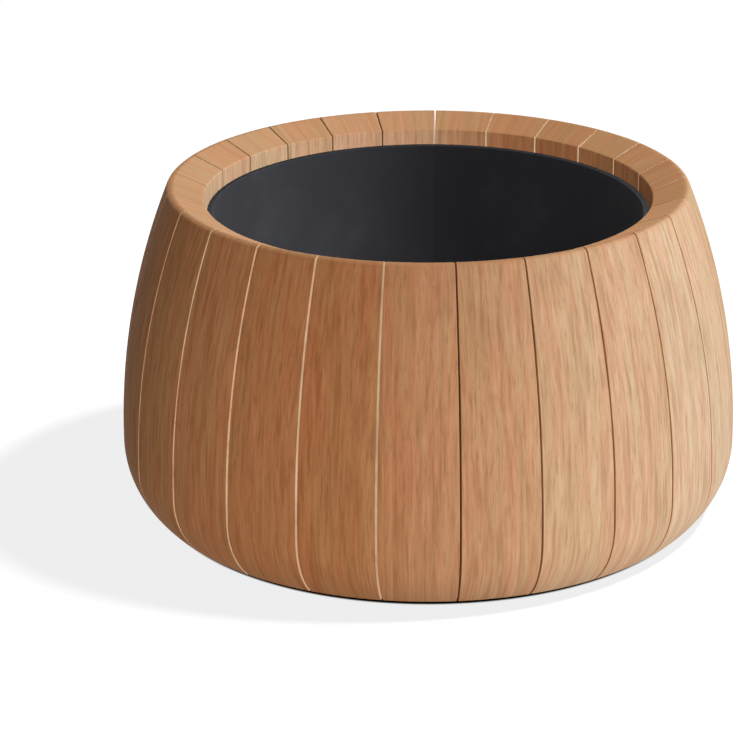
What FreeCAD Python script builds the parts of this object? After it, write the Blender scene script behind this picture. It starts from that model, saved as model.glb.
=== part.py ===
import FreeCAD, Part
import os
import re
import Sketcher

# A low round planter. Curved teak staves stand side by side around a black liner. A hoop near the
# top and a flat ring on the staves' toes hold them, one screw each, and feet under the ring keep
# the wood off the floor. The liner lifts out. Z is up, the floor is at zero, the front is -Y.

doc = FreeCAD.newDocument("teak_planter")
sheet = doc.addObject("Spreadsheet::Sheet", "Sizes")

SIZES = [
    ("belly_radius", 400, "outside of the staves at their widest level"),
    ("belly_height", 85.5, "height of that level above the floor"),
    ("rim_inset", 68.5, "outer corner of the rim, before it is rounded, in from the belly"),
    ("rim_height", 426, "height of that corner above the floor"),
    ("foot_inset", 36.5, "outside of the staves at their lower end, in from the belly"),
    ("floor_gap", 3.5, "lower end of the staves above the floor"),
    ("stave_thickness", 50, "staves, through their curved faces"),
    ("rim_width", 48.9, "top end of the staves across, before its edges are rounded"),
    ("collar_height", 30, "upright part of the inside, down from the rim's inner corner"),
    ("stave_count", 25, "staves in the ring"),
    ("stave_gap", 2.4, "open joint between two staves at the belly"),
    ("rim_round", 8, "round on the rim's outer edge"),
    ("mouth_round", 3, "round on the rim's inner edge"),
    ("arris_round", 0.5, "small round on the edges beside each joint"),
    ("toe_width", 24, "flat seat on top of a stave's toe, along the radius"),
    ("ring_seat_height", 28.5, "that seat above the floor"),
    ("hoop_drop", 98, "top of the hoop below the rim's corner"),
    ("hoop_width", 30, "flat bar of the hoop, height"),
    ("hoop_thickness", 4, "flat bar of the hoop, thickness"),
    ("hoop_fit", 0.2, "clearance of the hoop in its seat"),
    ("ring_thickness", 6, "base ring"),
    ("ring_fit", 1, "clearance round the base ring"),
    ("ring_margin", 35, "base ring from the feet to its inner edge"),
    ("screw_diameter", 5, "wood screw, shank"),
    ("screw_head_diameter", 10, "wood screw, head"),
    ("screw_head_height", 3.5, "wood screw in the hoop, round head"),
    ("toe_screw_head_height", 2.8, "wood screw in a toe, countersunk head"),
    ("screw_socket_width", 4, "hexagon socket, across the flats"),
    ("screw_fit", 0.1, "clearance round a screw in the wood and in the feet"),
    ("screw_hole_fit", 0.5, "clearance round a screw in the metal"),
    ("screw_bite_share", 0.55, "length in the wood over the wood's thickness there"),
    ("screw_point_share", 0.25, "pointed part of that length"),
    ("foot_count", 5, "feet under the base ring"),
    ("foot_diameter", 60, "foot"),
    ("foot_chamfer", 3, "lower edge of a foot"),
    ("foot_margin", 24, "feet from the toes of the staves"),
    ("foot_screw_diameter", 8, "countersunk screw in a foot"),
    ("foot_screw_head_diameter", 16, "its head"),
    ("foot_screw_head_height", 4, "its head"),
    ("foot_screw_socket_width", 5, "its hexagon socket, across the flats"),
    ("foot_screw_bite_share", 0.7, "its length in the foot over the foot's height"),
    ("socket_depth_share", 0.6, "depth of a socket over its head's height"),
    ("drain_count", 5, "drain holes"),
    ("drain_margin", 11, "drain holes from the base ring"),
    ("drain_diameter", 18, "drain holes in the liner"),
    ("liner_fit", 3.2, "clearance of the liner in the mouth of the staves"),
    ("liner_recess", 18.7, "edge of the liner below the rim's inner edge"),
    ("liner_wall", 4, "wall and floor of the liner"),
    ("liner_taper", 9, "radius that the liner loses from its lip to its floor"),
    ("lip_width", 4, "lip of the liner, beyond its wall"),
    ("lip_height", 6, "lip of the liner"),
    ("lip_round", 1.5, "edges of the lip"),
    ("liner_corner", 10, "outer corner round the liner's floor"),
    ("overrun", 1, "cuts run on past the faces that they open"),
]

RELATIONS = [
    ("rim_rise", "rim_height - belly_height"),
    ("rim_radius", "belly_radius - rim_inset"),
    ("bow_radius", "(rim_rise ^ 2 + rim_inset ^ 2) / (2 * rim_inset)"),
    ("inner_bow_radius", "bow_radius - stave_thickness"),
    ("mouth_radius", "rim_radius - rim_width * (1 - rim_inset / bow_radius)"),
    ("mouth_height", "rim_height - rim_width * rim_rise / bow_radius"),
    ("collar_foot", "mouth_height - collar_height"),
    ("inner_belly_radius", "belly_radius - stave_thickness"),
    ("foot_rise", "belly_height - floor_gap"),
    ("foot_radius", "belly_radius - foot_inset"),
    ("foot_bow_radius", "(foot_rise ^ 2 + foot_inset ^ 2) / (2 * foot_inset)"),
    ("toe_curve_radius", "belly_height - ring_seat_height"),
    ("toe_flat_radius", "inner_belly_radius - toe_curve_radius"),
    ("toe_end_radius", "toe_flat_radius - toe_width"),
    ("toe_screw_radius", "toe_flat_radius - toe_width / 2"),
    ("toe_bite", "(ring_seat_height - floor_gap) * screw_bite_share"),
    ("hoop_top", "rim_height - hoop_drop"),
    ("hoop_base", "hoop_top - hoop_width"),
    ("hoop_middle", "hoop_top - hoop_width / 2"),
    ("seat_top", "hoop_top + hoop_fit"),
    ("seat_base", "hoop_base - hoop_fit"),
    ("seat_reach", "sqrt(inner_bow_radius ^ 2 - (seat_base - belly_height) ^ 2)"),
    ("seat_radius", "belly_radius - bow_radius + seat_reach"),
    ("hoop_radius", "seat_radius - hoop_fit"),
    ("hoop_inner_radius", "hoop_radius - hoop_thickness"),
    ("hoop_bite", "stave_thickness * screw_bite_share"),
    ("ring_radius", "toe_flat_radius - ring_fit"),
    ("ring_top", "ring_seat_height + ring_thickness"),
    ("foot_circle_radius", "toe_end_radius - foot_margin - foot_diameter / 2"),
    ("foot_bite", "ring_seat_height * foot_screw_bite_share"),
    ("foot_inner_radius", "foot_circle_radius - foot_diameter / 2"),
    ("ring_inner_radius", "foot_inner_radius - ring_margin"),
    ("drain_circle_radius", "ring_inner_radius - drain_margin - drain_diameter / 2"),
    ("lip_radius", "mouth_radius - liner_fit"),
    ("lip_top", "mouth_height - liner_recess"),
    ("lip_base", "lip_top - lip_height"),
    ("liner_radius", "lip_radius - lip_width"),
    ("liner_floor_radius", "liner_radius - liner_taper"),
]

for row, (alias, number, note) in enumerate(SIZES, 1):
    sheet.set(f"A{row}", note)
    sheet.set(f"B{row}", str(number))
    sheet.setAlias(f"B{row}", alias)
for row, (alias, formula) in enumerate(RELATIONS, len(SIZES) + 1):
    sheet.set(f"A{row}", "worked out")
    sheet.set(f"B{row}", "=" + formula)
    sheet.setAlias(f"B{row}", alias)
doc.recompute()

ALIAS = re.compile(r"\b(" + "|".join(entry[0] for entry in SIZES + RELATIONS) + r")\b")
TOUCH_SHARE = 1 / 4000
# A sketch counts the points of a curve from one: its start, its end and its centre.
START, END, CENTRE = range(1, 4)


def bind(item, name, formula):
    """Ties a property to a formula in the sheet's aliases."""
    item.setExpression(name, ALIAS.sub(r"Sizes.\g<0>", formula))


def size(formula):
    """Present value of a formula in the sheet's aliases."""
    return float(sheet.evalExpression(formula))


def touches(distance):
    """Whether two places that should meet do, at the scale of the planter."""
    return abs(distance) < size("belly_radius") * TOUCH_SHARE


def origin_part(body, role):
    return next(part for part in body.Origin.OriginFeatures if part.Role == role)


def new_body(label):
    body = doc.addObject("PartDesign::Body", label)
    body.Label = label
    body.AllowCompound = True
    return body


def new_sketch(body, role, name, lift="0"):
    """Sketch on one of the body's own planes, or at a named distance above it."""
    sketch = body.newObject("Sketcher::SketchObject", f"{body.Label}_{name}")
    sketch.AttachmentSupport = (origin_part(body, role), "")
    sketch.MapMode = "FlatFace"
    if lift != "0":
        bind(sketch, "AttachmentOffset.Base.z", lift)
    return sketch


def measure(sketch, kind, parts, formula):
    """Adds a measured constraint and ties it to the sheet."""
    index = sketch.addConstraint(Sketcher.Constraint(kind, *parts, size(formula)))
    bind(sketch, f"Constraints[{index}]", formula)


def pin(sketch, shape, point, across, up):
    """Holds a point of the sketch at two named distances from the sketch's origin."""
    for kind, axis, formula in (("DistanceX", -2, across), ("DistanceY", -1, up)):
        if formula == "0":
            sketch.addConstraint(Sketcher.Constraint("PointOnObject", shape, point, axis))
        elif formula.startswith("-"):
            measure(sketch, kind, (shape, point, -1, 1), formula[1:])
        else:
            measure(sketch, kind, (-1, 1, shape, point), formula)


def place(across, up):
    return FreeCAD.Vector(size(across), size(up), 0)


def outline(sketch, corners):
    """Closed outline with straight sides; each corner is a pair of formulas."""
    count = len(corners)
    for here, there in zip(corners, corners[1:] + corners[:1]):
        sketch.addGeometry(Part.LineSegment(place(*here), place(*there)))
    for side, corner in enumerate(corners):
        sketch.addConstraint(Sketcher.Constraint("Coincident", side, END, (side + 1) % count, START))
        pin(sketch, side, START, *corner)


def circle(sketch, across, up, diameter):
    ring = sketch.addGeometry(Part.Circle(place(across, up), FreeCAD.Vector(0, 0, 1), size(diameter) / 2))
    pin(sketch, ring, CENTRE, across, up)
    measure(sketch, "Diameter", (ring,), diameter)


def hexagon(sketch, across, up, width):
    """Regular hexagon about a point, with the given width across its flats."""
    half = f"{width} / 2"
    point = f"{width} / sqrt(3)"
    middle = "" if across == "0" else f"{across} + "
    outline(sketch, [
        (f"{middle}{half}", f"{up} - {point} / 2"),
        (f"{middle}{half}", f"{up} + {point} / 2"),
        (across, f"{up} + {point}"),
        (f"{across} - {half}" if middle else f"-{half}", f"{up} + {point} / 2"),
        (f"{across} - {half}" if middle else f"-{half}", f"{up} - {point} / 2"),
        (across, f"{up} - {point}"),
    ])


def axis_line(sketch, here, there):
    """Construction line that a section turns about."""
    line = sketch.addGeometry(Part.LineSegment(place(*here), place(*there)), True)
    pin(sketch, line, START, *here)
    pin(sketch, line, END, *there)


def turn(body, sketch, axis, angle="360 deg"):
    """Solid of revolution of a sketch, even on both sides of the sketch's plane."""
    feature = body.newObject("PartDesign::Revolution", f"{sketch.Name}_turned")
    feature.Profile = sketch
    feature.ReferenceAxis = (sketch, [axis])
    feature.Midplane = True
    bind(feature, "Angle", angle)
    doc.recompute()
    return feature


def pad(body, sketch, length):
    feature = body.newObject("PartDesign::Pad", f"{sketch.Name}_pad")
    feature.Profile = sketch
    bind(feature, "Length", length)
    doc.recompute()
    return feature


def pocket(body, sketch, length, forward=False):
    """Cut from the sketch's plane, against its normal or along it, that must take material away."""
    before = body.Shape.Volume
    feature = body.newObject("PartDesign::Pocket", f"{sketch.Name}_cut")
    feature.Profile = sketch
    feature.Reversed = forward
    bind(feature, "Length", length)
    doc.recompute()
    if body.Shape.Volume >= before:
        raise ValueError(f"{feature.Name} cuts nothing")
    return feature


def ring_of(body, features, count):
    """Repeats features evenly about the planter's own axis."""
    pattern = body.newObject("PartDesign::PolarPattern", f"{features[0].Name}_ring")
    pattern.Originals = features
    pattern.Axis = (origin_part(body, "Z_Axis"), [""])
    pattern.Angle = 360
    bind(pattern, "Occurrences", count)
    body.Tip = pattern
    doc.recompute()


def round_off(body, name, edges, radius):
    """Fillet on the edges whose middle passes the test."""
    base = body.Tip
    chosen = []
    for number, edge in enumerate(base.Shape.Edges, 1):
        middle = edge.valueAt((edge.FirstParameter + edge.LastParameter) / 2)
        if edges(edge, middle):
            chosen.append(f"Edge{number}")
    feature = body.newObject("PartDesign::Fillet", f"{body.Label}_{name}")
    feature.Base = (base, chosen)
    bind(feature, "Radius", radius)
    doc.recompute()


def face_angle(item, step, count):
    """Turns an item from the X axis to its own place in the ring, counted from the front."""
    item.Placement = FreeCAD.Placement(FreeCAD.Vector(), FreeCAD.Rotation(FreeCAD.Vector(0, 0, 1), 1))
    bind(item, "Placement.Rotation.Angle", f"360 deg * {step} / {count} - 90 deg")


pieces = []


def copies(body, stem, digits, count):
    """The body itself and links to it, set round the planter."""
    body.Label = f"{stem}_{1:0{digits}d}"
    face_angle(body, 0, count)
    pieces.append(body)
    for step in range(1, round(size(count))):
        link = doc.addObject("App::Link", f"{stem}_{step + 1:0{digits}d}")
        link.LinkedObject = body
        link.Label = f"{stem}_{step + 1:0{digits}d}"
        face_angle(link, step, count)
        pieces.append(link)


# Stave: a section that bows out to the belly and back in to the foot, turned through its share of
# the circle. Its top end is square to its outside, its inside is upright below that end, and its toe
# turns in under the base ring.
stave = new_body("stave")
section = new_sketch(stave, "XZ_Plane", "section")
up_normal = FreeCAD.Vector(0, 0, 1)
bow_centre = place("belly_radius - bow_radius", "belly_height")
foot_centre = place("belly_radius - foot_bow_radius", "belly_height")
toe_centre = place("toe_flat_radius", "belly_height")
corner = place("rim_radius", "rim_height")
square_end = (bow_centre - corner).normalize()
mouth = corner + square_end * size("rim_width")
along_face = FreeCAD.Vector(-square_end.y, square_end.x, 0)


def arc(centre, start, end):
    """Arc about a centre, anticlockwise from one point to another."""
    whole = Part.Circle(centre, up_normal, (start - centre).Length)
    first = whole.parameter(start)
    last = whole.parameter(end)
    return Part.ArcOfCircle(whole, first, last if last > first else last + whole.LastParameter)


belly = place("belly_radius", "belly_height")
inner_belly = place("inner_belly_radius", "belly_height")
foot = place("foot_radius", "floor_gap")
toe_start = place("toe_flat_radius", "ring_seat_height")
toe_top = place("toe_end_radius", "ring_seat_height")
toe_foot = place("toe_end_radius", "floor_gap")
seat_low = place("seat_radius", "seat_base")
seat_high = place("seat_radius", "seat_top")
shoulder_reach = "sqrt(inner_bow_radius ^ 2 - (seat_top - belly_height) ^ 2)"
shoulder = place(f"belly_radius - bow_radius + {shoulder_reach}", "seat_top")
collar_foot = place("mouth_radius", "collar_foot")
rim_centre = corner + (square_end + along_face) * size("rim_round")
rim_start = rim_centre - square_end * size("rim_round")
rim_end = rim_centre - along_face * size("rim_round")
mouth_shift = square_end * ((1 - along_face.x) / square_end.x)
mouth_centre = mouth + (mouth_shift + along_face) * size("mouth_round")
mouth_start = mouth_centre - along_face * size("mouth_round")
mouth_end = FreeCAD.Vector(mouth.x, mouth_centre.y, 0)

shapes = {
    "foot_bow": arc(foot_centre, foot, belly),
    "bow": arc(bow_centre, belly, rim_start),
    "rim": arc(rim_centre, rim_start, rim_end),
    "end_cut": Part.LineSegment(rim_end, mouth_start),
    "mouth": arc(mouth_centre, mouth_start, mouth_end),
    "collar": Part.LineSegment(collar_foot, mouth_end),
    "relief": Part.LineSegment(collar_foot, shoulder),
    "shoulder": Part.LineSegment(shoulder, seat_high),
    "seat": Part.LineSegment(seat_high, seat_low),
    "inside": arc(bow_centre, inner_belly, seat_low),
    "toe_curve": arc(toe_centre, toe_start, inner_belly),
    "toe_seat": Part.LineSegment(toe_start, toe_top),
    "toe_end": Part.LineSegment(toe_top, toe_foot),
    "sole": Part.LineSegment(toe_foot, foot),
    "corner": Part.Point(corner),
}
part_of = {name: section.addGeometry(shape, name == "corner") for name, shape in shapes.items()}


def rule(kind, *places):
    section.addConstraint(Sketcher.Constraint(kind, *[part_of.get(item, item) for item in places]))


for first, first_end, second, second_end in (
    ("foot_bow", END, "bow", START), ("bow", END, "rim", START), ("rim", END, "end_cut", START),
    ("end_cut", END, "mouth", START), ("mouth", END, "collar", END), ("inside", START, "toe_curve", END),
    ("toe_curve", START, "toe_seat", START),
):
    rule("Tangent", first, first_end, second, second_end)
for first, first_end, second, second_end in (
    ("collar", START, "relief", START), ("relief", END, "shoulder", START),
    ("shoulder", END, "seat", START), ("seat", END, "inside", END),
    ("toe_seat", END, "toe_end", START), ("toe_end", END, "sole", START), ("sole", END, "foot_bow", START),
    ("inside", CENTRE, "bow", CENTRE),
):
    rule("Coincident", first, first_end, second, second_end)
rule("Horizontal", "bow", CENTRE, "bow", START)
rule("Horizontal", "inside", CENTRE, "inside", START)
rule("PointOnObject", "corner", START, "bow")
rule("PointOnObject", "corner", START, "end_cut")
rule("PointOnObject", "bow", CENTRE, "end_cut")
rule("PointOnObject", "shoulder", START, "inside")
rule("Vertical", "collar")
rule("Horizontal", "shoulder")
rule("Vertical", "seat")
rule("Horizontal", "toe_seat")
rule("Vertical", "toe_end")
rule("Horizontal", "sole")
pin(section, part_of["foot_bow"], START, "foot_radius", "floor_gap")
pin(section, part_of["bow"], START, "belly_radius", "belly_height")
pin(section, part_of["corner"], START, "rim_radius", "rim_height")
measure(section, "Radius", (part_of["rim"],), "rim_round")
measure(section, "Radius", (part_of["mouth"],), "mouth_round")
measure(section, "DistanceX", (-1, 1, part_of["inside"], START), "inner_belly_radius")
pin(section, part_of["collar"], START, "mouth_radius", "collar_foot")
measure(section, "DistanceY", (-1, 1, part_of["shoulder"], START), "seat_top")
measure(section, "DistanceY", (-1, 1, part_of["seat"], END), "seat_base")
pin(section, part_of["toe_seat"], END, "toe_end_radius", "ring_seat_height")

turn(stave, section, "V_Axis", "360 deg / stave_count - 2 * asin(stave_gap / (2 * belly_radius))")

eased_middles = []
for name in ("foot_bow", "bow", "rim", "end_cut", "mouth", "collar"):
    line = section.Geometry[part_of[name]]
    eased_middles.append(line.value((line.FirstParameter + line.LastParameter) / 2))


def beside_joint(edge, middle):
    """Long edges of a stave that show beside a joint, from its foot over the rim to the liner."""
    flat = FreeCAD.Vector((middle.x ** 2 + middle.y ** 2) ** 0.5, middle.z, 0)
    on_outline = touches(min((flat - point).Length for point in eased_middles))
    return on_outline and not touches(middle.y)


round_off(stave, "arrises", beside_joint, "arris_round")

pilot = new_sketch(stave, "YZ_Plane", "hoop_pilot")
circle(pilot, "0", "hoop_middle", "screw_diameter + 2 * screw_fit")
pocket(stave, pilot, "seat_radius + hoop_bite + screw_fit", forward=True)
pilot = new_sketch(stave, "XY_Plane", "toe_pilot", "ring_seat_height")
circle(pilot, "toe_screw_radius", "0", "screw_diameter + 2 * screw_fit")
pocket(stave, pilot, "toe_bite + screw_fit")
copies(stave, "stave", 2, "stave_count")

# Hoop: a flat bar rolled to a ring, let into the seat on the inside of the staves.
hoop = new_body("upper_hoop")
section = new_sketch(hoop, "XY_Plane", "ring", "hoop_base")
circle(section, "0", "0", "2 * hoop_radius")
circle(section, "0", "0", "2 * hoop_inner_radius")
pad(hoop, section, "hoop_width")
hole = new_sketch(hoop, "YZ_Plane", "screw_hole", "hoop_inner_radius - overrun")
circle(hole, "0", "hoop_middle", "screw_diameter + 2 * screw_hole_fit")
cut = pocket(hoop, hole, "hoop_thickness + 2 * overrun", forward=True)
ring_of(hoop, [cut], "stave_count")
face_angle(hoop, 0, "stave_count")
pieces.append(hoop)

# Hoop screws: round-headed wood screws, outwards through the hoop into each stave.
hoop_screws = new_body("hoop_screws")
section = new_sketch(hoop_screws, "XZ_Plane", "section")
head = "hoop_inner_radius - screw_head_height"
tip = "seat_radius + hoop_bite"
outline(section, [
    (head, "hoop_middle"),
    (head, "hoop_middle + screw_head_diameter / 2 - screw_head_height / 2"),
    ("hoop_inner_radius - screw_head_height / 2", "hoop_middle + screw_head_diameter / 2"),
    ("hoop_inner_radius", "hoop_middle + screw_head_diameter / 2"),
    ("hoop_inner_radius", "hoop_middle + screw_diameter / 2"),
    (f"{tip} - hoop_bite * screw_point_share", "hoop_middle + screw_diameter / 2"),
    (tip, "hoop_middle"),
])
axis_line(section, (head, "hoop_middle"), (tip, "hoop_middle"))
shank = turn(hoop_screws, section, "Axis0")
socket = new_sketch(hoop_screws, "YZ_Plane", "socket", head)
hexagon(socket, "0", "hoop_middle", "screw_socket_width")
recess = pocket(hoop_screws, socket, "screw_head_height * socket_depth_share", forward=True)
ring_of(hoop_screws, [shank, recess], "stave_count")
face_angle(hoop_screws, 0, "stave_count")
pieces.append(hoop_screws)

# Base ring: a flat ring on the staves' toes, with countersunk screw holes. The liner stands on it,
# and drains through the opening in its middle.
base_ring = new_body("base_ring")
section = new_sketch(base_ring, "XY_Plane", "disc", "ring_seat_height")
circle(section, "0", "0", "2 * ring_radius")
circle(section, "0", "0", "2 * ring_inner_radius")
pad(base_ring, section, "ring_thickness")


def countersink(name, middle, head, head_height, shank, count):
    """Ring of screw holes through the base ring, widened at the top for flush heads."""
    sink = new_sketch(base_ring, "XZ_Plane", name)
    sink_edge = f"{middle} + {head} / 2 + screw_fit"
    sink_bore = f"{middle} + {shank} / 2 + screw_hole_fit"
    outline(sink, [
        (middle, "ring_seat_height - overrun"),
        (sink_bore, "ring_seat_height - overrun"),
        (sink_bore, f"ring_top - {head_height}"),
        (sink_edge, "ring_top"),
        (sink_edge, "ring_top + overrun"),
        (middle, "ring_top + overrun"),
    ])
    axis_line(sink, (middle, "ring_seat_height"), (middle, "ring_top"))
    before = base_ring.Shape.Volume
    groove = base_ring.newObject("PartDesign::Groove", f"{sink.Name}_cut")
    groove.Profile = sink
    groove.ReferenceAxis = (sink, ["Axis0"])
    groove.Angle = 360
    doc.recompute()
    if base_ring.Shape.Volume >= before:
        raise ValueError(f"{groove.Name} cuts nothing")
    ring_of(base_ring, [groove], count)


countersink("toe_sink", "toe_screw_radius", "screw_head_diameter", "toe_screw_head_height",
            "screw_diameter", "stave_count")
countersink("foot_sink", "foot_circle_radius", "foot_screw_head_diameter", "foot_screw_head_height",
            "foot_screw_diameter", "foot_count")
face_angle(base_ring, 0, "stave_count")
pieces.append(base_ring)

# Toe screws: countersunk wood screws, down through the base ring into each toe, flush with it.
toe_screws = new_body("toe_screws")
section = new_sketch(toe_screws, "XZ_Plane", "section")
tip = "ring_seat_height - toe_bite"
outline(section, [
    ("toe_screw_radius", "ring_top"),
    ("toe_screw_radius + screw_head_diameter / 2", "ring_top"),
    ("toe_screw_radius + screw_diameter / 2", "ring_top - toe_screw_head_height"),
    ("toe_screw_radius + screw_diameter / 2", f"{tip} + toe_bite * screw_point_share"),
    ("toe_screw_radius", tip),
])
axis_line(section, ("toe_screw_radius", tip), ("toe_screw_radius", "ring_top"))
shank = turn(toe_screws, section, "Axis0")
socket = new_sketch(toe_screws, "XY_Plane", "socket", "ring_top")
hexagon(socket, "toe_screw_radius", "0", "screw_socket_width")
recess = pocket(toe_screws, socket, "toe_screw_head_height * socket_depth_share")
ring_of(toe_screws, [shank, recess], "stave_count")
face_angle(toe_screws, 0, "stave_count")
pieces.append(toe_screws)

# Feet: turned plastic blocks between the floor and the base ring, with a blind hole for a screw.
foot_body = new_body("foot")
section = new_sketch(foot_body, "XZ_Plane", "section")
foot_bore = "foot_circle_radius + foot_screw_diameter / 2 + screw_fit"
foot_edge = "foot_circle_radius + foot_diameter / 2"
bore_floor = "ring_seat_height - foot_bite - screw_fit"
outline(section, [
    ("foot_circle_radius", "0"),
    (f"{foot_edge} - foot_chamfer", "0"),
    (foot_edge, "foot_chamfer"),
    (foot_edge, "ring_seat_height"),
    (foot_bore, "ring_seat_height"),
    (foot_bore, bore_floor),
    ("foot_circle_radius", bore_floor),
])
axis_line(section, ("foot_circle_radius", "0"), ("foot_circle_radius", "ring_seat_height"))
turn(foot_body, section, "Axis0")
copies(foot_body, "foot", 1, "foot_count")

# Foot screws: countersunk, flush with the base ring, so that the liner stands flat.
foot_screws = new_body("foot_screws")
section = new_sketch(foot_screws, "XZ_Plane", "section")
head_edge = "foot_circle_radius + foot_screw_head_diameter / 2"
shank_edge = "foot_circle_radius + foot_screw_diameter / 2"
outline(section, [
    ("foot_circle_radius", "ring_seat_height - foot_bite"),
    (shank_edge, "ring_seat_height - foot_bite"),
    (shank_edge, "ring_top - foot_screw_head_height"),
    (head_edge, "ring_top"),
    ("foot_circle_radius", "ring_top"),
])
screw_end = ("foot_circle_radius", "ring_seat_height - foot_bite")
axis_line(section, screw_end, ("foot_circle_radius", "ring_top"))
shank = turn(foot_screws, section, "Axis0")
socket = new_sketch(foot_screws, "XY_Plane", "socket", "ring_top")
hexagon(socket, "foot_circle_radius", "0", "foot_screw_socket_width")
recess = pocket(foot_screws, socket, "foot_screw_head_height * socket_depth_share")
ring_of(foot_screws, [shank, recess], "foot_count")
face_angle(foot_screws, 0, "foot_count")
pieces.append(foot_screws)

# Liner: a tapered pot with a small lip, drain holes in its floor, standing on the base ring.
liner = new_body("liner")
section = new_sketch(liner, "XZ_Plane", "section")
outline(section, [
    ("0", "ring_top"),
    ("liner_floor_radius", "ring_top"),
    ("liner_radius", "lip_base"),
    ("lip_radius", "lip_base"),
    ("lip_radius", "lip_top"),
    ("liner_radius - liner_wall", "lip_top"),
    ("liner_floor_radius - liner_wall", "ring_top + liner_wall"),
    ("0", "ring_top + liner_wall"),
])
turn(liner, section, "V_Axis")


def round_at(radius, height):
    """Test for the circular edge that passes at a radius and a height."""
    def test(edge, middle):
        flat = (middle.x ** 2 + middle.y ** 2) ** 0.5
        here = touches(flat - size(radius)) and touches(middle.z - size(height))
        return here and edge.Curve.TypeId == "Part::GeomCircle"
    return test


round_off(liner, "outer_corner", round_at("liner_floor_radius", "ring_top"), "liner_corner")
round_off(liner, "inner_corner",
          round_at("liner_floor_radius - liner_wall", "ring_top + liner_wall"), "liner_corner - liner_wall")
round_off(liner, "lip_edge", round_at("lip_radius", "lip_top"), "lip_round")
round_off(liner, "lip_inside", round_at("liner_radius - liner_wall", "lip_top"), "lip_round")
hole = new_sketch(liner, "XY_Plane", "drain", "ring_top + liner_wall")
circle(hole, "drain_circle_radius", "0", "drain_diameter")
cut = pocket(liner, hole, "liner_wall + overrun")
ring_of(liner, [cut], "drain_count")
face_angle(liner, 0, "stave_count")
pieces.append(liner)

doc.recompute()
for item in doc.Objects:
    if "Invalid" in item.State or "Error" in item.State:
        raise ValueError(f"{item.Label} is in state {item.State}")
solids = {piece.Label: Part.getShape(piece) for piece in pieces}
for label, shape in solids.items():
    if shape.isNull() or not shape.isValid():
        raise ValueError(f"{label} has no valid shape")
os.makedirs("parts", exist_ok=True)
for label, shape in solids.items():
    shape.exportStep(f"parts/{label}.step")
    print(label, len(shape.Solids), round(shape.Volume))
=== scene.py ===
import math
import bpy
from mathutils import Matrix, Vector

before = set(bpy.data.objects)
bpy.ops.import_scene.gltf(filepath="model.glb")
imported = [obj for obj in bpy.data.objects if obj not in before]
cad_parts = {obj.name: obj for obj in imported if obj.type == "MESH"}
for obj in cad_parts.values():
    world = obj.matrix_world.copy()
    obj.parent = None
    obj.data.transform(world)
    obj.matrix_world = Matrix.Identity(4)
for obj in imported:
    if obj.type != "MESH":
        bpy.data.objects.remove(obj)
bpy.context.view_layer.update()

# Staves: twenty-five lengths of solid teak, sawn to a curve, planed and oiled, with an open joint
# between each two. The grain runs up each stave, and is fainter on the square-cut end at the rim.
STAVES = sorted(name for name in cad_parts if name.startswith("stave_"))
STAVE_TURN = 2 * math.pi / len(STAVES)
HALF_STAVE = 0.5
RED_TEAK = (0.455, 0.225, 0.112, 1)
OLIVE_TEAK = (0.430, 0.255, 0.124, 1)
DARK_STREAK = (0.275, 0.130, 0.058, 1)
PALE_STREAK = (0.550, 0.340, 0.190, 1)
TEAK_GLOSS = 0.04
TEAK_ROUGH = 0.62
LUCK_SEED = 41
SECOND_LUCK_SEED = 173
NOISE_MIDDLE = 0.5
WANDER_WIDTH = 0.060
WANDER_LENGTH = 0.170
WANDER_REACH = 0.005
WANDER_STEP = 5.3
LUCK_ACROSS = 57
LUCK_ALONG = 31
STREAK_STEP = 3.7
STREAKS = {
    "bands": {"width": 0.017, "length": 0.210, "layer": 0.1},
    "ribbons": {"width": 0.0080, "length": 0.180, "layer": 0.3},
    "dashes": {"width": 0.0044, "length": 0.075, "layer": 0.5},
    "flecks": {"width": 0.0024, "length": 0.026, "layer": 0.6},
    "pores": {"width": 0.0009, "length": 0.011, "layer": 0.7, "detail": 1},
}
BAND_EDGES = (0.36, 0.64)
BAND_SHARE = 0.75
LUCK_SHARE = 0.25
TINTS = (
    {"streak": "ribbons", "edges": (0.48, 0.72), "share": 0.30, "colour": DARK_STREAK},
    {"streak": "ribbons", "edges": (0.48, 0.26), "share": 0.28, "colour": PALE_STREAK},
    {"streak": "dashes", "edges": (0.49, 0.70), "share": 0.48, "colour": DARK_STREAK},
    {"streak": "dashes", "edges": (0.47, 0.28), "share": 0.36, "colour": PALE_STREAK},
    {"streak": "flecks", "edges": (0.52, 0.70), "share": 0.40, "colour": DARK_STREAK},
)
PORE_EDGES = (0.60, 0.74)
PORE_SHARE = 0.28
END_FACING = (0.50, 0.85)
END_CLEAR = 0.45
GAMMA_LEAST = 0.94
GAMMA_SPREAD = 0.12
DASH_RELIEF = 0.4
FLECK_RELIEF = 0.4
PORE_RELIEF = 0.35
GRAIN_BUMP = {"Strength": 0.30, "Distance": 0.0006}
DASH_ROUGH = 0.3
PORE_ROUGH = 0.1


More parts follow.
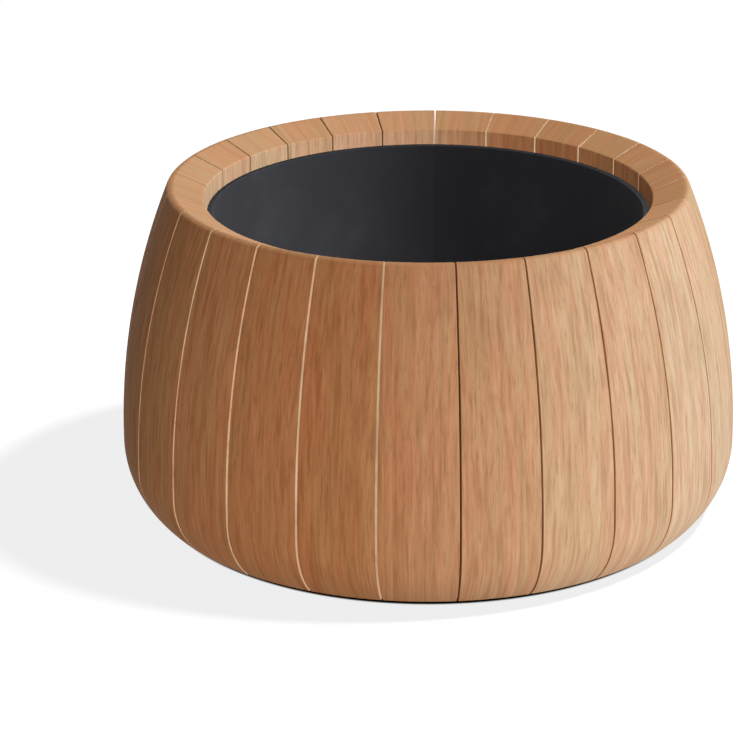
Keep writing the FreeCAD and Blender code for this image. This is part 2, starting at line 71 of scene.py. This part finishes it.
class Flow:
    """A socket in a tree of nodes. Arithmetic on it adds the nodes that work it out."""

    def __init__(self, tree, socket=None):
        self.tree = tree
        self.socket = socket

    def add(self, kind, settings=None, values=None, out=0):
        """Any node: its settings come first, then the values or links of its sockets."""
        node = self.tree.nodes.new("ShaderNode" + kind)
        for name, setting in (settings or {}).items():
            setattr(node, name, setting)
        for name, value in (values or {}).items():
            if isinstance(value, Flow):
                self.tree.links.new(value.socket, node.inputs[name])
            else:
                node.inputs[name].default_value = value
        return Flow(self.tree, node.outputs[out])

    def of(self, out):
        """Another output of the same node."""
        return Flow(self.tree, self.socket.node.outputs[out])

    def math(self, operation, *others):
        return self.add("Math", {"operation": operation}, dict(enumerate((self, *others))))

    def __add__(self, other):
        return self.math("ADD", other)

    def __sub__(self, other):
        return self.math("SUBTRACT", other)

    def __rsub__(self, other):
        return self.math("MULTIPLY_ADD", -1, other)

    def __mul__(self, other):
        return self.math("MULTIPLY", other)

    def __truediv__(self, other):
        return self.math("DIVIDE", other)

    def __rtruediv__(self, other):
        return self.math("POWER", -1) * other

    __radd__ = __add__
    __rmul__ = __mul__

    def ramp(self, start, end, low=0, high=1):
        """Eased change from one value to another while this one goes from start to end."""
        values = {0: self, 1: start, 2: end, 3: low, 4: high}
        return self.add("MapRange", {"interpolation_type": "SMOOTHSTEP"}, values)

    def between(self, start, end):
        """Colour between two others, by this value."""
        settings = {"data_type": "RGBA", "blend_type": "MIX", "clamp_factor": True}
        return self.add("Mix", settings, {0: self, 6: start, 7: end}, out=2)

    def noise(self, place, scale=1, detail=2, rough=0.5):
        return self.add("TexNoise", {"noise_dimensions": "3D"},
                        {"Vector": place, "Scale": scale, "Detail": detail, "Roughness": rough})


def new_finish(name):
    """Empty finish, its shader and a first flow to build on."""
    finish = bpy.data.materials.new(name)
    finish.use_nodes = True
    return finish, finish.node_tree.nodes["Principled BSDF"], Flow(finish.node_tree)


def feed(finish, shader, values):
    """Sets the sockets of a shader to numbers and colours, or links them."""
    for name, value in values.items():
        if isinstance(value, Flow):
            finish.node_tree.links.new(value.socket, shader.inputs[name])
        else:
            shader.inputs[name].default_value = value


def wear(names, finish):
    """Gives the finish to CAD nodes."""
    for name in names:
        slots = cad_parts[name].data.materials
        slots.clear()
        slots.append(finish)


def teak_finish():
    finish, shader, start = new_finish("oiled_teak")
    x = start.add("SeparateXYZ", values={0: start.add("TexCoord", out="Object")})
    y = x.of(1)
    z = x.of(2)
    radius = (x * x + y * y).math("SQRT")
    step = x.math("ARCTAN2", y * -1) / STAVE_TURN + HALF_STAVE
    index = step.math("FLOOR")
    across = (step - index - HALF_STAVE) * STAVE_TURN * radius
    along = z - radius

    def stave_luck(seed):
        """Chance value that is the same all over one stave."""
        return start.add("TexWhiteNoise", {"noise_dimensions": "1D"}, {"W": index + seed}, out="Value")

    luck = stave_luck(LUCK_SEED)
    second_luck = stave_luck(SECOND_LUCK_SEED)
    wander_place = start.add("CombineXYZ", values={
        0: across / WANDER_WIDTH,
        1: along / WANDER_LENGTH,
        2: index * WANDER_STEP,
    })
    grain = across + (start.noise(wander_place, detail=1) - NOISE_MIDDLE) * WANDER_REACH

    def drawn_out(width, length, layer, detail=2):
        """Noise drawn out along the grain, different on every stave."""
        place = start.add("CombineXYZ", values={
            0: grain / width + luck * LUCK_ACROSS,
            1: along / length + second_luck * LUCK_ALONG,
            2: index * STREAK_STEP + layer,
        })
        return start.noise(place, detail=detail)

    streaks = {name: drawn_out(**measures) for name, measures in STREAKS.items()}
    facing = start.add("SeparateXYZ", values={0: start.add("NewGeometry", out="Normal")})
    clear = facing.of(2).ramp(*END_FACING, low=1, high=END_CLEAR)
    open_pores = streaks["pores"].ramp(*PORE_EDGES)

    olive_share = streaks["bands"].ramp(*BAND_EDGES) * BAND_SHARE + luck * LUCK_SHARE
    colour = olive_share.between(RED_TEAK, OLIVE_TEAK)
    for tint in TINTS:
        strength = streaks[tint["streak"]].ramp(*tint["edges"]) * clear * tint["share"]
        colour = strength.between(colour, tint["colour"])
    colour = (open_pores * PORE_SHARE).between(colour, DARK_STREAK)
    colour = start.add("Gamma", values={0: colour, 1: second_luck * GAMMA_SPREAD + GAMMA_LEAST})

    relief = streaks["dashes"] * DASH_RELIEF + streaks["flecks"] * FLECK_RELIEF
    relief = relief + streaks["pores"] * PORE_RELIEF
    roughness = TEAK_ROUGH + (streaks["dashes"] - NOISE_MIDDLE) * DASH_ROUGH + open_pores * PORE_ROUGH
    feed(finish, shader, {
        "Base Color": colour,
        "Roughness": roughness,
        "Specular IOR Level": TEAK_GLOSS,
        "Normal": start.add("Bump", values={**GRAIN_BUMP, "Height": relief}),
    })
    return finish


wear(STAVES, teak_finish())

# Upper hoop and base ring: flat bar rolled to a ring and a ring cut from plate, both powder coated
# satin black, which leaves a fine orange-peel skin. Screws hold them to every stave.
COAT_BLACK = (0.020, 0.020, 0.021, 1)
COAT_DUSTY = (0.045, 0.043, 0.041, 1)
COAT_GLOSS = 0.4
COAT_ROUGH = 0.42
PEEL_SCALE = 900
PEEL_BUMP = {"Strength": 0.25, "Distance": 0.0003}
DUST_SCALE = 14
DUST_EDGES = (0.45, 0.75)
DUST_ROUGH = 0.15


def powder_coat():
    finish, shader, start = new_finish("black_powder_coat")
    point = start.add("TexCoord", out="Object")
    peel = start.noise(point, scale=PEEL_SCALE, detail=2)
    dust = start.noise(point, scale=DUST_SCALE, detail=4, rough=0.6)
    feed(finish, shader, {
        "Base Color": dust.ramp(*DUST_EDGES).between(COAT_BLACK, COAT_DUSTY),
        "Roughness": COAT_ROUGH + dust * DUST_ROUGH,
        "Specular IOR Level": COAT_GLOSS,
        "Normal": start.add("Bump", values={**PEEL_BUMP, "Height": peel}),
    })
    return finish


wear(["upper_hoop", "base_ring"], powder_coat())

# Screws: stainless steel with hexagon sockets, one through the hoop and one through the base ring
# into each stave, and one into each foot. The heads are turned, finely matt and a little stained.
SCREWS = ["hoop_screws", "toe_screws", "foot_screws"]
STEEL = (0.56, 0.55, 0.53, 1)
STEEL_DULL = (0.36, 0.35, 0.34, 1)
STEEL_ROUGH = 0.28
STAIN_SCALE = 260
STAIN_EDGES = (0.40, 0.70)
STAIN_ROUGH = 0.2
MATT_SCALE = 1800
MATT_BUMP = {"Strength": 0.15, "Distance": 0.0001}


def screw_steel():
    finish, shader, start = new_finish("stainless_steel")
    point = start.add("TexCoord", out="Object")
    stain = start.noise(point, scale=STAIN_SCALE, detail=4, rough=0.6)
    matt = start.noise(point, scale=MATT_SCALE, detail=2)
    feed(finish, shader, {
        "Base Color": stain.ramp(*STAIN_EDGES).between(STEEL, STEEL_DULL),
        "Metallic": 1.0,
        "Roughness": STEEL_ROUGH + stain * STAIN_ROUGH,
        "Normal": start.add("Bump", values={**MATT_BUMP, "Height": matt}),
    })
    return finish


wear(SCREWS, screw_steel())

# Feet: five turned blocks of black plastic, screwed under the base ring. Their fine surface is dull,
# with grit from the floor worked into the lower edge.
FEET = [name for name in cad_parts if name.startswith("foot_") and name not in SCREWS]
FOOT_BLACK = (0.017, 0.017, 0.018, 1)
FOOT_GRIT = (0.085, 0.078, 0.068, 1)
FOOT_GLOSS = 0.35
FOOT_ROUGH = 0.6
SPECKLE_SCALE = 620
SPECKLE_EDGES = (0.42, 0.62)
SPECKLE_ROUGH = 0.2
SPECKLE_BUMP = {"Strength": 0.3, "Distance": 0.0003}
GRIT_HEIGHT = 0.012
GRIT_SHARE = 0.7


def foot_plastic():
    finish, shader, start = new_finish("foot_plastic")
    point = start.add("TexCoord", out="Object")
    height = start.add("SeparateXYZ", values={0: point}).of(2)
    speckle = start.noise(point, scale=SPECKLE_SCALE, detail=3, rough=0.6)
    grit = height.ramp(GRIT_HEIGHT, 0.0) * speckle.ramp(*SPECKLE_EDGES)
    feed(finish, shader, {
        "Base Color": (grit * GRIT_SHARE).between(FOOT_BLACK, FOOT_GRIT),
        "Roughness": FOOT_ROUGH + speckle * SPECKLE_ROUGH,
        "Specular IOR Level": FOOT_GLOSS,
        "Normal": start.add("Bump", values={**SPECKLE_BUMP, "Height": speckle}),
    })
    return finish


wear(FEET, foot_plastic())

# Liner: a pot moulded in black plastic, standing loose on the base ring, with its edge below the rim.
# The mould leaves a fine even texture, and handling leaves faint lighter scuffs.
LINER_BLACK = (0.036, 0.036, 0.039, 1)
LINER_SCUFF = (0.050, 0.050, 0.053, 1)
LINER_GLOSS = 0.15
LINER_ROUGH = 0.55
MOULD_SCALE = 1100
MOULD_BUMP = {"Strength": 0.2, "Distance": 0.0002}
SCUFF_SCALE = 9
SCUFF_EDGES = (0.45, 0.80)
SCUFF_ROUGH = 0.12


def liner_plastic():
    finish, shader, start = new_finish("liner_plastic")
    point = start.add("TexCoord", out="Object")
    texture = start.noise(point, scale=MOULD_SCALE, detail=2)
    scuff = start.noise(point, scale=SCUFF_SCALE, detail=5, rough=0.65)
    feed(finish, shader, {
        "Base Color": scuff.ramp(*SCUFF_EDGES).between(LINER_BLACK, LINER_SCUFF),
        "Roughness": LINER_ROUGH + scuff * SCUFF_ROUGH,
        "Specular IOR Level": LINER_GLOSS,
        "Normal": start.add("Bump", values={**MOULD_BUMP, "Height": texture}),
    })
    return finish


wear(["liner"], liner_plastic())

# Studio: a white floor, a dark surround and soft lamps. One lamp throws the planter's shadow on the
# floor. The others throw none: they fill the wood from the right, the front and behind, and the liner
# from the right, the front and above. The floor's glow is masked off in a disc under the planter, set
# a little to the front: a painted contact shadow.
BLACK = (0, 0, 0, 1)
WHITE = (1, 1, 1, 1)
FLOOR_SIZE = 40.0
FLOOR_PALE = (0.16, 0.16, 0.16, 1)
FLOOR_GLOW = (0.845, 0.848, 0.851, 1)
FLOOR_BOUNCE = (0.05, 0.04, 0.03, 1)
FLOOR_ROUGH = 0.9
# Painted contact shadow: the floor has no glow inside this radius, and the disc sits this far to the
# front.
PAINTED_SHADOW_EDGES = (0.351, 0.356)
PAINTED_SHADOW_AHEAD = 0.010
SURROUND = (0.05, 0.04, 0.03, 1)
LAMP_AIM = (0, 0, 0.22)
LAMP_REACH = 4.5
LAMP_BOUNCES = 0
NARROW = 0.6
WIDE = 2.0
COOL = (0.72, 1.0, 1.35)
NEUTRAL = (0.98, 1.0, 1.06)
SOFT = (1.05, 1.0, 0.94)
WARM = (1.31, 1.0, 0.80)
LAMPS = {
    "shadow_lamp": dict(turn=96, rise=60.5, width=NARROW, power=500, colour=NEUTRAL, lights="floor"),
    "side_lamp": dict(turn=75, rise=0, width=WIDE, power=323, colour=COOL, lights="shell"),
    "front_lamp": dict(turn=0, rise=0, width=WIDE, power=113, colour=WARM, lights="shell"),
    "back_lamp": dict(turn=150, rise=60, width=WIDE, power=203, colour=SOFT, lights="shell"),
    "rear_lamp": dict(turn=-160, rise=0, width=WIDE, power=50, colour=WARM, lights="shell"),
    "liner_side_lamp": dict(turn=90, rise=0, width=WIDE, power=300, colour=NEUTRAL, lights="liner"),
    "liner_top_lamp": dict(turn=0, rise=90, width=WIDE, power=110, colour=NEUTRAL, lights="liner"),
    "liner_front_lamp": dict(turn=-20, rise=0, width=WIDE, power=52, colour=NEUTRAL, lights="liner"),
}
CAMERA_REACH = 3.358
CAMERA_HEIGHT = 1.4594
CAMERA_SIDE = math.radians(1.67)
CAMERA_PITCH = math.radians(21.06)
CAMERA_LENS = 134.24
PICTURE_SIDE = 736
AXIS_PIXEL = 428.28


def sees_background(start):
    """Whether a ray shows the background: seen straight, in a reflection or through something."""
    light_path = start.add("LightPath", out="Is Camera Ray")
    seen = light_path.math("MAXIMUM", light_path.of("Is Glossy Ray"))
    return seen.math("MAXIMUM", light_path.of("Is Transmission Ray"))


def floor_finish():
    finish, shader, start = new_finish("white_floor")
    x = start.add("SeparateXYZ", values={0: start.add("TexCoord", out="Object")})
    # Painted contact shadow: no glow in a disc under the planter, set a little to the front.
    y = x.of(1) + PAINTED_SHADOW_AHEAD
    outside_painted_shadow = (x * x + y * y).math("SQRT").ramp(*PAINTED_SHADOW_EDGES)
    seen = sees_background(start)
    feed(finish, shader, {
        "Base Color": seen.between(BLACK, FLOOR_PALE),
        "Roughness": FLOOR_ROUGH,
        "Specular IOR Level": 0.0,
        "Emission Color": outside_painted_shadow.between(BLACK, seen.between(FLOOR_BOUNCE, FLOOR_GLOW)),
        "Emission Strength": 1.0,
    })
    return finish


bpy.ops.mesh.primitive_plane_add(size=FLOOR_SIZE)
floor = bpy.context.object
floor.name = "floor"
floor.data.materials.append(floor_finish())

world = bpy.data.worlds.new("studio")
bpy.context.scene.world = world
world.use_nodes = True
shown = sees_background(Flow(world.node_tree)).between(SURROUND, WHITE)
feed(world, world.node_tree.nodes["Background"], {"Color": shown})

lit = {"floor": [floor], "liner": [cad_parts["liner"]]}
lit["shell"] = [node for name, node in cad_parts.items() if name != "liner"]
receivers = {}
for name, objects in lit.items():
    receivers[name] = bpy.data.collections.new("lit_" + name)
    for piece in objects:
        receivers[name].objects.link(piece)
for name, lamp in LAMPS.items():
    holder = bpy.data.objects.new(name, bpy.data.lights.new(name, "AREA"))
    holder.data.shape = "DISK"
    holder.data.size = lamp["width"]
    holder.data.energy = lamp["power"]
    holder.data.color = lamp["colour"]
    turn = math.radians(lamp["turn"])
    rise = math.radians(lamp["rise"])
    away = Vector((math.sin(turn) * math.cos(rise), -math.cos(turn) * math.cos(rise), math.sin(rise)))
    holder.location = Vector(LAMP_AIM) + away * LAMP_REACH
    holder.rotation_euler = away.to_track_quat("Z", "Y").to_euler()
    holder.visible_camera = False
    holder.visible_glossy = False
    holder.data.use_shadow = lamp["lights"] == "floor"
    holder.data.cycles.max_bounces = LAMP_BOUNCES
    holder.light_linking.receiver_collection = receivers[lamp["lights"]]
    bpy.context.scene.collection.objects.link(holder)

camera = bpy.data.objects.new("camera", bpy.data.cameras.new("camera"))
camera.data.lens = CAMERA_LENS
camera.data.shift_x = (PICTURE_SIDE / 2 - AXIS_PIXEL) / PICTURE_SIDE
camera.location = (
    CAMERA_REACH * math.sin(CAMERA_SIDE),
    -CAMERA_REACH * math.cos(CAMERA_SIDE),
    CAMERA_HEIGHT,
)
camera.rotation_euler = (math.pi / 2 - CAMERA_PITCH, 0, CAMERA_SIDE)
bpy.context.scene.collection.objects.link(camera)
bpy.context.scene.camera = camera
bpy.context.scene.view_settings.view_transform = "Standard"
